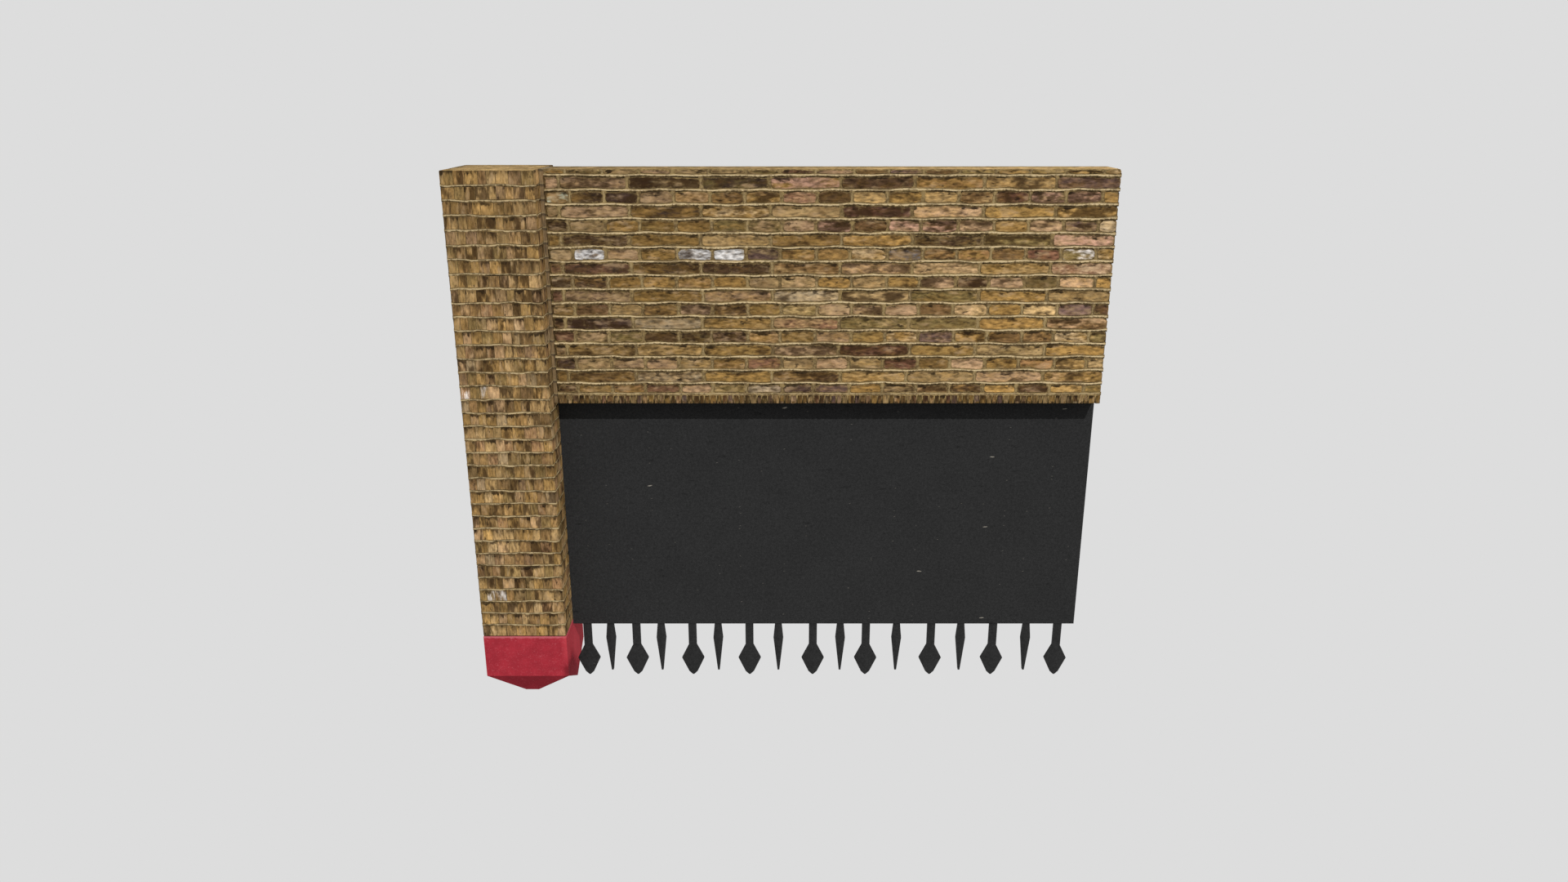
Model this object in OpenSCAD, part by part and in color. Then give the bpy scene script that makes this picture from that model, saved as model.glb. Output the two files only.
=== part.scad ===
// Brick garden wall: one bay of dwarf wall with a metal screen and finials, ending in a capped brick pier.
// Lengths are millimetres, +Z is up, the front faces -Y, the origin is the middle of the base.

/* [Overall] */
// Length from the free end of the wall to the outer face of the pier
total_len = 2478; // [2000:1:3600]

/* [Pier] */
// Side of the square brick pier
pier_side = 342; // [320:1:420]
// Distance the pier's brickwork stops below the top of the screen
pier_drop = 18; // [0:1:60]

/* [Cap] */
// Height of the square block of the cap
cap_block_h = 183; // [150:1:220]
// Rise of the cap's roof above its block
cap_rise = 96; // [70:1:120]
// Width of the flat crest along the front ridge
cap_crest_w = 54; // [40:1:70]
// Distance the front ridge stops behind the cap's front face
cap_hip = 54; // [40:1:70]

/* [Wall] */
// Thickness of the dwarf wall
wall_t = 182; // [170:1:200]
// Distance from the pier's front face back to the wall's front face
wall_setback = 70; // [60:1:100]
// Height of the wall's brickwork under the coping
wall_h = 851; // [780:1:920]
// Height of the brick-on-end coping course
coping_h = 39; // [36:1:52]
// Width of the movement joint between wall and pier
joint_w = 18; // [12:1:22]
// Distance the packing of that joint lies behind the wall's faces
joint_recess = 14; // [8:1:30]

/* [Screen] */
// Height of the screen above the coping
screen_h = 998; // [940:1:1060]
// Thickness of each of the two face sheets
sheet_t = 3; // [2:0.5:4]
// Thickness of the rails and stiles between the sheets
frame_t = 16; // [14:1:20]
// Width of the rails and stiles
frame_w = 40; // [30:1:50]

/* [Finials] */
// Width of a spear's stem
stem_w = 34; // [30:1:38]
// Width of a spear's head at its widest
head_w = 96; // [84:1:100]
// Width of a spear's head at the shoulder under its point
shoulder_w = 36; // [32:1:42]
// Height of a spear's stem
stem_h = 105; // [90:1:120]
// Height from the stem up to the widest part
head_low_h = 62; // [54:1:70]
// Height from the widest part up to the shoulder
head_high_h = 64; // [56:1:72]
// Height of the blunt point over the shoulder
point_h = 14; // [10:1:18]
// Width of the blunt point
point_w = 6; // [4:1:10]
// Width of a spike at its foot
spike_foot_w = 28; // [24:1:32]
// Width of a spike at its widest
spike_w = 42; // [38:1:46]
// Height of a spike's widest part above its foot
spike_low_h = 70; // [60:1:80]
// Height of a spike's taper
spike_high_h = 154; // [140:1:170]
// Width of a spike's blunt tip
spike_tip_w = 8; // [6:1:10]
// Thickness of a finial along its outer edges
finial_edge_t = 9; // [8:1:10]

/* [Hidden] */
// Shares of the screen's length between the pier, the seventeen finials and the free end
gaps = [58, 99, 110, 106, 134, 110, 134, 124, 148, 117, 110, 131, 148, 127, 138, 141, 134, 66];
// Running sum of the first n shares
function share(n) = n <= 0 ? 0 : gaps[n - 1] + share(n - 1);
gap_total = share(len(gaps));
x_end = -total_len / 2;
x_out = total_len / 2;
x_in = x_out - pier_side;
y_pier = -pier_side / 2;
y_wall = y_pier + wall_setback;
y_mid = y_wall + wall_t / 2;
wall_x1 = x_in - joint_w;
z_coping = wall_h;
z_screen = wall_h + coping_h;
z_top = z_screen + screen_h;
pier_h = z_top - pier_drop;
screen_len = x_in - x_end;
y_screen = y_mid - frame_t / 2 - sheet_t;
cap_w = pier_side;
z_cap = pier_h;
z_eaves = pier_h + cap_block_h;

module pier_shaft() {
    color([0.55, 0.44, 0.30])
        translate([x_in, y_pier, 0])
            cube([pier_side, pier_side, pier_h]);
}

module cap_block() {
    color([0.60, 0.17, 0.22])
        translate([x_in, y_pier, z_cap])
            cube([cap_w, cap_w, cap_block_h]);
}

// Ridge running left to right with upright gable ends
module cap_long_ridge() {
    translate([x_in, 0, z_eaves])
        rotate([90, 0, 90])
            linear_extrude(height = cap_w)
                polygon([[y_pier, 0], [y_pier + cap_w, 0], [y_pier + cap_w / 2, cap_rise]]);
}

// Flat-crested ridge running front to back, its ends sloped back from the faces
module cap_cross_ridge() {
    half_w = cap_w / 2;
    half_crest = cap_crest_w / 2;
    y_back = y_pier + cap_w;
    intersection() {
        translate([x_in + half_w, y_back, z_eaves])
            rotate([90, 0, 0])
                linear_extrude(height = cap_w)
                    polygon([[-half_w, 0], [half_w, 0], [half_crest, cap_rise], [-half_crest, cap_rise]]);
        translate([x_in, 0, z_eaves])
            rotate([90, 0, 90])
                linear_extrude(height = cap_w)
                    polygon([[y_pier, 0], [y_back, 0], [y_back - cap_hip, cap_rise],
                        [y_pier + cap_hip, cap_rise]]);
    }
}

module cap_roof() {
    color([0.55, 0.16, 0.20])
        union() {
            cap_long_ridge();
            cap_cross_ridge();
        }
}

module dwarf_wall() {
    color([0.52, 0.42, 0.28])
        translate([x_end, y_wall, 0])
            cube([wall_x1 - x_end, wall_t, wall_h]);
}

module wall_coping() {
    color([0.50, 0.39, 0.26])
        translate([x_end, y_wall, z_coping])
            cube([wall_x1 - x_end, wall_t, coping_h]);
}

module joint_filler() {
    color([0.36, 0.33, 0.29])
        translate([wall_x1, y_wall + joint_recess, 0])
            cube([joint_w, wall_t - 2 * joint_recess, z_screen]);
}

module front_sheet() {
    color([0.17, 0.17, 0.17])
        translate([x_end, y_screen, z_screen])
            cube([screen_len, sheet_t, screen_h]);
}

module back_sheet() {
    color([0.17, 0.17, 0.17])
        translate([x_end, y_screen + sheet_t + frame_t, z_screen])
            cube([screen_len, sheet_t, screen_h]);
}

// Length of frame flat lying between the sheets
module frame_flat(x, z, l, h) {
    color([0.16, 0.16, 0.16])
        translate([x, y_screen + sheet_t, z])
            cube([l, frame_t, h]);
}

module bottom_rail() {
    frame_flat(x_end, z_screen, screen_len, frame_w);
}

module top_rail() {
    frame_flat(x_end, z_top - frame_w, screen_len, frame_w);
}

module pier_stile() {
    frame_flat(x_in - frame_w, z_screen + frame_w, frame_w, screen_h - 2 * frame_w);
}

module end_stile() {
    frame_flat(x_end, z_screen + frame_w, frame_w, screen_h - 2 * frame_w);
}

// Plan of a finial: thickest on the centre line, thinner at both edges
module finial_plan(w) {
    polygon([[-w / 2, -finial_edge_t / 2], [0, -frame_t / 2], [w / 2, -finial_edge_t / 2],
        [w / 2, finial_edge_t / 2], [0, frame_t / 2], [-w / 2, finial_edge_t / 2]]);
}

// Place number k counted from the pier, on the centre line of the top rail
module at_place(k) {
    translate([x_in - screen_len * share(k) / gap_total, y_mid, z_top])
        children();
}

module spear(k) {
    h1 = stem_h;
    h2 = h1 + head_low_h;
    h3 = h2 + head_high_h;
    h4 = h3 + point_h;
    color([0.16, 0.16, 0.16])
        at_place(2 * k - 1)
            intersection() {
                linear_extrude(height = h4)
                    finial_plan(head_w);
                translate([0, frame_t / 2, 0])
                    rotate([90, 0, 0])
                        linear_extrude(height = frame_t)
                            polygon([[-stem_w / 2, 0], [stem_w / 2, 0], [stem_w / 2, h1], [head_w / 2, h2],
                                [shoulder_w / 2, h3], [point_w / 2, h4], [-point_w / 2, h4],
                                [-shoulder_w / 2, h3], [-head_w / 2, h2], [-stem_w / 2, h1]]);
            }
}

module spike(k) {
    h1 = spike_low_h;
    h2 = h1 + spike_high_h;
    color([0.16, 0.16, 0.16])
        at_place(2 * k)
            intersection() {
                linear_extrude(height = h2)
                    finial_plan(spike_w);
                translate([0, frame_t / 2, 0])
                    rotate([90, 0, 0])
                        linear_extrude(height = frame_t)
                            polygon([[-spike_foot_w / 2, 0], [spike_foot_w / 2, 0], [spike_w / 2, h1],
                                [spike_tip_w / 2, h2], [-spike_tip_w / 2, h2], [-spike_w / 2, h1]]);
            }
}

pier_shaft();
cap_block();
cap_roof();
dwarf_wall();
wall_coping();
joint_filler();
front_sheet();
back_sheet();
bottom_rail();
top_rail();
pier_stile();
end_stile();
spear(1);  // spear_1
spike(1);  // spike_1
spear(2);  // spear_2
spike(2);  // spike_2
spear(3);  // spear_3
spike(3);  // spike_3
spear(4);  // spear_4
spike(4);  // spike_4
spear(5);  // spear_5
spike(5);  // spike_5
spear(6);  // spear_6
spike(6);  // spike_6
spear(7);  // spear_7
spike(7);  // spike_7
spear(8);  // spear_8
spike(8);  // spike_8
spear(9);  // spear_9
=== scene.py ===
"""Dresses one bay of a brick garden wall: capped pier, dwarf wall, tile coping and screen with finials."""
import math
from collections import namedtuple

import bmesh
import bpy
import numpy as np
from bpy.props import FloatProperty, FloatVectorProperty, IntProperty, PointerProperty
from mathutils import Matrix, Vector, noise


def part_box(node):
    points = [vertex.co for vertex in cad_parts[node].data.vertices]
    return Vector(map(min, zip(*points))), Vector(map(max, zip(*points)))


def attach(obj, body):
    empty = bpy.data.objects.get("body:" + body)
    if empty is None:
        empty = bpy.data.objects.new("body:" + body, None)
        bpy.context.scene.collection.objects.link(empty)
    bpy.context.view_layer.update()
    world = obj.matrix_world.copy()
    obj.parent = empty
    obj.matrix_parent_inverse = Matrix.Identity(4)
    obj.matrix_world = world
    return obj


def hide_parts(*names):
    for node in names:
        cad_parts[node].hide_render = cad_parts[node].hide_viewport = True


bl_info = {
    "name": "Brick garden wall bay",
    "version": (1, 0, 0),
    "blender": (4, 5, 0),
    "location": "3D View > Sidebar > Garden wall",
    "description": "Brickwork, tile coping, stone cap and painted screen for one bay of a garden wall",
    "category": "Object",
}

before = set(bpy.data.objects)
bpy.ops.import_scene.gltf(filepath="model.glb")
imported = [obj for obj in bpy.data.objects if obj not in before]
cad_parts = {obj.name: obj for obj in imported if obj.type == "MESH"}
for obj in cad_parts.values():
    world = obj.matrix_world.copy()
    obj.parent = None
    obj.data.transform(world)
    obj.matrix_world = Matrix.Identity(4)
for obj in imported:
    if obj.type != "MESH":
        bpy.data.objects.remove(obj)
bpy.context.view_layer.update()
BODY = "root"

SHEETS = ["front_sheet", "back_sheet"]
RAILS = ["bottom_rail", "top_rail", "pier_stile", "end_stile"]
FINIALS = sorted(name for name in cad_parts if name.startswith(("spear_", "spike_")))


def shade(code):
    """Turns a written colour such as #9e2e3a into the linear colour that Blender's sockets take."""
    channels = [int(code[at:at + 2], 16) / 255 for at in (1, 3, 5)]
    return tuple(c / 12.92 if c <= 0.04045 else ((c + 0.055) / 1.055) ** 2.4 for c in channels)


def times(colour, factor):
    """A plain colour made lighter or darker by a factor."""
    return tuple(c * factor for c in colour)


# Fired clay colours, each with how often it turns up
CLAY = {
    "ochre": ("#927240", 20),
    "straw": ("#a3875c", 15),
    "gold": ("#957340", 16),
    "olive": ("#7b683f", 10),
    "brown": ("#6d5334", 10),
    "umber": ("#4a3726", 8),
    "plum": ("#5f4a42", 7),
    "liver": ("#5e4030", 6),
    "rust": ("#856048", 5),
    "buff": ("#ae8d6b", 10),
    "cream": ("#b8a281", 3),
}
# The clay that bricks of one mixture draw near to
COMMON_CLAY = "#8c7048"
# Rare bricks that are set one by one
ODD_CLAY = {
    "white": "#dad6d2",
    "mint": "#b9c0aa",
    "pink": "#a5806a",
    "slate": "#55504f",
    "chalk": "#c4bdb6",
    "soot": "#3d2f24",
}
# How far a rare clay spreads over its brick, and how far where it has no value of its own
ODD_COVER = {"white": 0.20, "mint": 0.02, "chalk": -0.05}
USUAL_COVER = 0.05

# Stains and weathering of clay and mortar, and the dark of open gaps, which is also a painted shadow under
# the bricks
MOTTLE = shade("#5e4520")
CHAR = shade("#352414")
BLOOM = shade("#c0a17a")
PIT = shade("#261c14")
GAP_AND_SHADOW = shade("#251b10")
SMEAR_KHAKI = shade("#8d774f")
MORTAR_KHAKI = shade("#8f7950")
MORTAR_DARK = shade("#614f34")
# Specks and wear of the cap stone, a painted highlight for its lower edge, and painted light and painted
# shade for its side
STONE_PALE = shade("#be5a62")
STONE_DEEP = shade("#741a26")
STONE_SCUFF = shade("#c76a72")
STONE_EDGE_HIGHLIGHT = shade("#cb727a")
STONE_PAINTED_LIGHT = shade("#c8464f")
STONE_PAINTED_SHADE = shade("#3a0f14")
# Scratches of the paint, and the stain and ridge at each bed joint of the filler
SCRATCH = shade("#a8a194")
FILLER_STAIN = shade("#2c2216")
FILLER_RIDGE = shade("#94815a")


class BrickworkSettings(bpy.types.PropertyGroup):
    """Sizes of the bricks, tiles and joints."""

    base_cut: FloatProperty(
        name="Base course", description="Height of the cut course at the ground",
        default=0.022, unit="LENGTH")
    course: FloatProperty(
        name="Course", description="Rise of one course of the wall, joint included",
        default=0.0524, unit="LENGTH")
    stretcher: FloatProperty(
        name="Stretcher", description="Length of a stretcher, joint included",
        default=0.262, unit="LENGTH")
    stretcher_start: FloatProperty(
        name="First stretcher", description="Length of the piece at the pier's end",
        default=0.048, unit="LENGTH")
    header: FloatProperty(
        name="Header", description="Length of a header, joint included",
        default=0.131, unit="LENGTH")
    header_start: FloatProperty(
        name="First header", description="Length of the header at the pier's end",
        default=0.085, unit="LENGTH")
    bed: FloatProperty(
        name="Bed joint", description="Thickness of the level joints",
        default=0.008, unit="LENGTH")
    perpend: FloatProperty(
        name="Upright joint", description="Thickness of the wall's upright joints",
        default=0.0065, unit="LENGTH")
    pier_course: FloatProperty(
        name="Pier course", description="Rise of one course of the pier",
        default=0.0534, unit="LENGTH")
    slip_least: FloatProperty(
        name="Narrowest pier slip", description="Width of the pier's narrowest unit",
        default=0.028, unit="LENGTH")
    slip_most: FloatProperty(
        name="Widest pier slip", description="Width of the pier's widest unit",
        default=0.050, unit="LENGTH")
    slip_joint: FloatProperty(
        name="Slip joint", description="Thickness of the pier's upright joints",
        default=0.0002, unit="LENGTH")
    tile_joint: FloatProperty(
        name="Tile joint", description="Thickness of the open joints between tiles",
        default=0.0030, unit="LENGTH")
    tile: FloatProperty(
        name="Coping tile", description="Thickness of a coping tile on edge",
        default=0.0224, unit="LENGTH")
    recess: FloatProperty(
        name="Joint recess", description="How far the core lies behind the brick",
        default=0.0050, unit="LENGTH")
    seed: IntProperty(name="Seed", description="Starts the random choice of clay", default=11)


class FinishSettings(bpy.types.PropertyGroup):
    """Colours of the finishes."""

    # Pale lime of the struck ridges, partly standing for a painted highlight
    mortar: FloatVectorProperty(
        name="Mortar", description="Lime mortar of the joints",
        default=shade("#d3bd93"), subtype="COLOR")
    stone: FloatVectorProperty(
        name="Cap stone", description="Red cap of the pier",
        default=shade("#a02c37"), subtype="COLOR")
    paint: FloatVectorProperty(
        name="Screen paint", description="Dark paint of the screen",
        default=shade("#2c2c2c"), subtype="COLOR")
    filler: FloatVectorProperty(
        name="Joint filler", description="Filler of the movement joint",
        default=shade("#7c6544"), subtype="COLOR")


class StageSettings(bpy.types.PropertyGroup):
    """Camera, lights and backdrop."""

    lens: FloatProperty(name="Lens", description="Focal length in millimetres", default=24.43)
    pitch: FloatProperty(
        name="Camera pitch", description="Upward tilt of the view",
        default=math.radians(17.882), subtype="ANGLE")
    camera_place: FloatVectorProperty(
        name="Camera", description="Where the camera stands",
        default=(-0.0026, -4.106, -0.2491), subtype="XYZ")
    backdrop: FloatVectorProperty(
        name="Backdrop", description="Plain pale backdrop",
        default=shade("#dddddd"), subtype="COLOR")
    key: FloatProperty(name="Key light", description="Strength of the key light", default=2.54)
    key_travel: FloatVectorProperty(
        name="Key travel", description="Way in which the key light travels",
        default=(0.262, 0.645, 0.718), subtype="XYZ")
    fill: FloatProperty(name="Fill light", description="Strength of the light from behind", default=1.8)
    fill_travel: FloatVectorProperty(
        name="Fill travel", description="Way in which the fill light travels",
        default=(-0.25, -0.70, -0.67), subtype="XYZ")
    side: FloatProperty(
        name="Side light", description="Strength of the light from the free end",
        default=0.42)
    ambient: FloatProperty(name="Ambient", description="Soft light from all round", default=0.48)
    ambient_slope: FloatProperty(
        name="Ambient slope", description="How much stronger the soft light is from below",
        default=0.30)


class GardenWallSettings(bpy.types.PropertyGroup):
    """All settings of the bay."""

    brickwork: PointerProperty(type=BrickworkSettings)
    finish: PointerProperty(type=FinishSettings)
    stage: PointerProperty(type=StageSettings)


def settings():
    """The bay's settings on the open scene."""
    return bpy.context.scene.garden_wall


# Shader expressions


class Socket:
    """A shader output that takes part in Python expressions: each operator adds a Math node."""

    def __init__(self, nodes, output):
        self.nodes = nodes
        self.output = output

    def math(self, operation, first, second):
        """Adds the Math node of one operator."""
        return self.nodes.add("ShaderNodeMath", {"operation": operation}, {0: first, 1: second})

    def __add__(self, other):
        return self.math("ADD", self, other)

    __radd__ = __add__

    def __sub__(self, other):
        return self.math("SUBTRACT", self, other)

    def __rsub__(self, other):
        return self.math("SUBTRACT", other, self)

    def __mul__(self, other):
        return self.math("MULTIPLY", self, other)

    __rmul__ = __mul__

    def __pow__(self, other):
        return self.math("POWER", self, other)

    def __or__(self, other):
        return self.math("MAXIMUM", self, other)

    def __and__(self, other):
        return self.math("MINIMUM", self, other)


class Nodes:
    """Adds nodes to one shader tree and ends it with an output."""

    def __init__(self, tree, output="ShaderNodeOutputMaterial"):
        self.tree = tree
        self.output = output
        tree.nodes.clear()

    def add(self, kind, options=None, sockets=None, out=0):
        """Adds a node of a kind, sets its options, then its sockets, and returns one of its outputs."""
        node = self.tree.nodes.new(kind)
        for name, value in (options or {}).items():
            setattr(node, name, value)
        for key, value in (sockets or {}).items():
            if isinstance(value, Socket):
                self.tree.links.new(value.output, node.inputs[key])
            else:
                node.inputs[key].default_value = value
        return Socket(self, node.outputs[out])

    def mix(self, factor, first, second):
        """Mixes two colours."""
        pair = {0: factor, 6: as_colour(first), 7: as_colour(second)}
        return self.add("ShaderNodeMix", {"data_type": "RGBA", "blend_type": "MIX"}, pair, out=2)

    def toned(self, colour, factor):
        """A colour made lighter or darker by a factor."""
        return self.add("ShaderNodeVectorMath", {"operation": "SCALE"}, {0: colour, "Scale": factor})

    def step(self, value, low, high):
        """Rises smoothly from 0 to 1 as a value goes from low to high."""
        sockets = {"Value": value, "From Min": low, "From Max": high}
        return self.add("ShaderNodeMapRange", {"interpolation_type": "SMOOTHSTEP"}, sockets)

    def place(self):
        """The point on the surface, in the part's frame."""
        return self.add("ShaderNodeTexCoord", out="Object")

    def split(self, vector):
        """The three parts of a vector."""
        node = self.add("ShaderNodeSeparateXYZ", None, {0: vector})
        return [Socket(self, output) for output in node.output.node.outputs]

    def scaled(self, vector, scale):
        """A vector stretched by a scale for each axis."""
        return self.add("ShaderNodeVectorMath", {"operation": "MULTIPLY"}, {0: vector, 1: scale})

    def noise(self, vector, scale, detail, roughness, shift=0.0):
        """Cloudy noise about 0.5; the shift gives another cloud at the same place."""
        sockets = {"Vector": vector, "W": shift, "Scale": scale, "Detail": detail, "Roughness": roughness}
        return self.add("ShaderNodeTexNoise", {"noise_dimensions": "4D"}, sockets)

    def attribute(self, name, out="Color"):
        """A colour attribute of the mesh, or its alpha."""
        return self.add("ShaderNodeAttribute", {"attribute_name": name}, out=out)

    def chips(self, vector, scale, size, share):
        """Small flecks on a flat face: 1 inside the flecks of the given share of cells."""
        sockets = {"Vector": vector, "Scale": scale}
        node = self.add("ShaderNodeTexVoronoi", {"voronoi_dimensions": "2D"}, sockets)
        cells = node.output.node.outputs
        pick = self.split(Socket(self, cells["Color"]))[0]
        inside = 1.0 - self.step(Socket(self, cells["Distance"]), size * 0.5, size)
        return inside * self.step(pick, 1.0 - share, 1.001 - share)

    def bump(self, height, distance, strength):
        """A surface normal from a height."""
        sockets = {"Strength": strength, "Distance": distance, "Height": height}
        return self.add("ShaderNodeBump", None, sockets)

    def surface(self, shader):
        """Ends the tree with a shader."""
        output = self.tree.nodes.new(self.output)
        self.tree.links.new(shader.output, output.inputs["Surface"])

    def opaque(self, colour, roughness, gloss, normal):
        """Ends the tree with an opaque finish."""
        self.surface(self.add("ShaderNodeBsdfPrincipled", None, {
            "Base Color": colour,
            "Roughness": roughness,
            "Specular IOR Level": gloss,
            "Normal": normal,
        }))


def as_colour(value):
    """Gives a plain colour its alpha; a socket passes through."""
    return value if isinstance(value, Socket) else (*value[:3], 1.0)


def new_material(name):
    """A new material and the node adder for its tree."""
    material = bpy.data.materials.new(name)
    material.use_nodes = True
    return material, Nodes(material.node_tree)


# Finishes

# Where along the wall its clay drifts from the free end's tone to the pier end's
DRIFT_SPAN = (-1.2, 0.8)
# Gloss that Blender gives a finish by itself
USUAL_GLOSS = 0.5
# Painted shade on the cap's side: its line below the block's top, how far before the middle it starts to
# climb, and its climb
SHADE_DROP = 0.050
SHADE_TURN = 0.080
SHADE_CLIMB = 1.07
# Heights above the block's foot between which the painted highlight along the cap's lower edge fades
EDGE_HIGHLIGHT_BAND = (0.003, 0.010)
# Flecks and scratches of the paint: how much longer than tall they are, and their slope
SCRATCH_STRETCH = 5.0
SCRATCH_SLOPE = 0.08


def clay_material(name, streaks, rim, lost, contrast, weather, drift=0.0):
    """Fired clay in streaks, with charred patches, pale bloom, smeared ends, painted shade towards the lower
    edge and a painted shadow along it.

    Streaks scale the clouds on each axis, rim is the width of the worn edge and lost is how far mortar
    covers it. Contrast is the change of tone in a brick, weather that over many bricks, and drift that
    from the pier to the free end.
    """
    _, nodes = new_material(name)
    place = nodes.place()
    brick, cover, char = nodes.split(nodes.attribute("brick_marks"))
    left, right, low = nodes.split(nodes.attribute("brick_reach"))
    top = nodes.attribute("brick_reach", "Alpha")

    # Clouds that differ from brick to brick, then grain that runs over all of them
    shift = brick * 90.0
    stretched = nodes.scaled(place, streaks)
    cloud = nodes.noise(stretched, 1.0, 4.0, 0.6, shift)
    grain = nodes.noise(stretched, 3.2, 2.0, 0.52, shift + 7.0)
    scorch = nodes.noise(stretched, 1.1, 3.0, 0.56, shift + 21.0)
    mottle = nodes.noise(stretched, 2.1, 3.0, 0.55, shift + 33.0)
    pits = nodes.step(nodes.noise(stretched, 2.1, 4.0, 0.62, shift + 51.0), 0.60, 0.70)
    ragged = nodes.noise(place, 80.0, 3.0, 0.6, shift) - 0.5
    wander = nodes.noise(place, 30.0, 3.0, 0.6, shift) - 0.5
    patch = nodes.step(nodes.noise(place, 15.0, 3.0, 0.6, shift), 0.46, 0.66)
    fine = nodes.noise(place, 230.0, 3.0, 0.7)
    speck = nodes.step(nodes.noise(place, 330.0, 2.0, 0.6), 0.28, 0.72)
    free_end = 1.0 - nodes.step(nodes.split(place)[0], *DRIFT_SPAN)

    # The two clays of the brick, their tone and what the fire did to them
    spread = nodes.step(cloud + cover + (grain - 0.5) * 0.4, 0.38, 0.66)
    colour = nodes.mix(spread, nodes.attribute("brick_body"), nodes.attribute("brick_blotch"))
    colour = nodes.mix(nodes.step(mottle, 0.45, 0.64) * 0.44, colour, MOTTLE)
    tone = (0.97 - contrast * 0.5 + contrast * grain | 0.2) * (0.90 + 0.20 * fine) * (0.93 + 0.15 * speck)
    # Painted shade: each brick is darker towards its lower edge
    tone = tone * (0.80 + 0.28 * nodes.step(low, 0.0, 0.026)) * (1.0 - drift * 0.5 + drift * free_end)
    tone = tone * (1.04 - weather * 0.5 + weather * nodes.noise(place, 11.0, 3.0, 0.5) | 0.35)
    colour = nodes.toned(colour, tone)
    colour = nodes.mix(nodes.step(scorch + char * 0.24, 0.60, 0.76) * 0.80, colour, CHAR)
    colour = nodes.mix(nodes.step(1.0 - scorch, 0.54, 0.70) * 0.44, colour, BLOOM)
    colour = nodes.mix(pits * 0.85, colour, PIT)

    # Mortar smeared over the edges, which have rounded corners
    corner = rim * 1.8
    beside = corner - (left & right) | 0.0
    beyond = corner - (low & top) | 0.0
    inside = corner - (beside * beside + beyond * beyond) ** 0.5 + (ragged + wander) * rim * 3.6
    mortar = nodes.mix(nodes.step(fine + ragged * 0.5, 0.34, 0.66), SMEAR_KHAKI, MORTAR_DARK)
    smear = (1.0 - nodes.step(inside, rim * -0.1, rim * 1.6)) * (0.45 + 0.55 * nodes.step(brick, 0.05, 0.5))
    colour = nodes.mix(smear * lost, colour, mortar)

    # Painted shadow in the open gap under the brick, and a dark open joint at one end
    gap = low + (grain - 0.5) * 0.036 + ragged * 0.012 - 0.0090 * patch
    under = (1.0 - nodes.step(gap, 0.0000, 0.0080)) * (0.28 + 0.72 * patch)
    end = 1.0 - nodes.step(right + ragged * rim * 2.4, rim * 0.1, rim * 0.7)
    colour = nodes.mix((under | end * patch * 0.7 * lost) * 0.90, colour, GAP_AND_SHADOW)

    relief = grain * 0.8 + fine * 0.35 - scorch * 0.4
    nodes.opaque(colour, 0.80 + 0.15 * fine, 0.06, nodes.bump(relief, 0.0032, 0.8))


def mortar_material():
    """Lime mortar: khaki and sandy, a pale struck ridge along the bed joints that is partly a painted
    highlight, and a painted shadow in the recessed gap above it.
    """
    _, nodes = new_material("lime_mortar")
    place = nodes.place()
    pale = settings().finish.mortar
    _, bed, rise = nodes.split(nodes.attribute("brick_marks"))
    stain = nodes.noise(place, 13.0, 4.0, 0.6)
    sand = nodes.noise(place, 320.0, 2.0, 0.6)
    crumb = nodes.noise(place, 90.0, 3.0, 0.6) - 0.5
    patch = nodes.step(nodes.noise(place, 19.0, 3.0, 0.6), 0.38, 0.58)
    stained = stain + crumb * 1.2
    across = rise + crumb * 0.5
    # The pale ridge is lime, partly a painted highlight of its struck face
    ridge = nodes.step(across, 0.26, 0.42) * (1.0 - nodes.step(across, 0.62, 0.74)) * bed
    # Painted shadow in the recessed gap under the brick above
    gap = nodes.step(across, 0.69, 0.79) * bed * (0.06 + 0.74 * patch)
    colour = nodes.mix(nodes.step(stained, 0.30, 0.70), MORTAR_KHAKI, MORTAR_DARK)
    colour = nodes.mix(ridge * (1.0 - 0.6 * nodes.step(stained, 0.42, 0.62)), colour, pale)
    colour = nodes.mix(gap, colour, GAP_AND_SHADOW)
    colour = nodes.toned(colour, 0.82 + 0.36 * sand)
    nodes.opaque(colour, 0.86 + 0.12 * sand, 0.06, nodes.bump(sand * 0.5 + crumb, 0.0015, 0.6))


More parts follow.
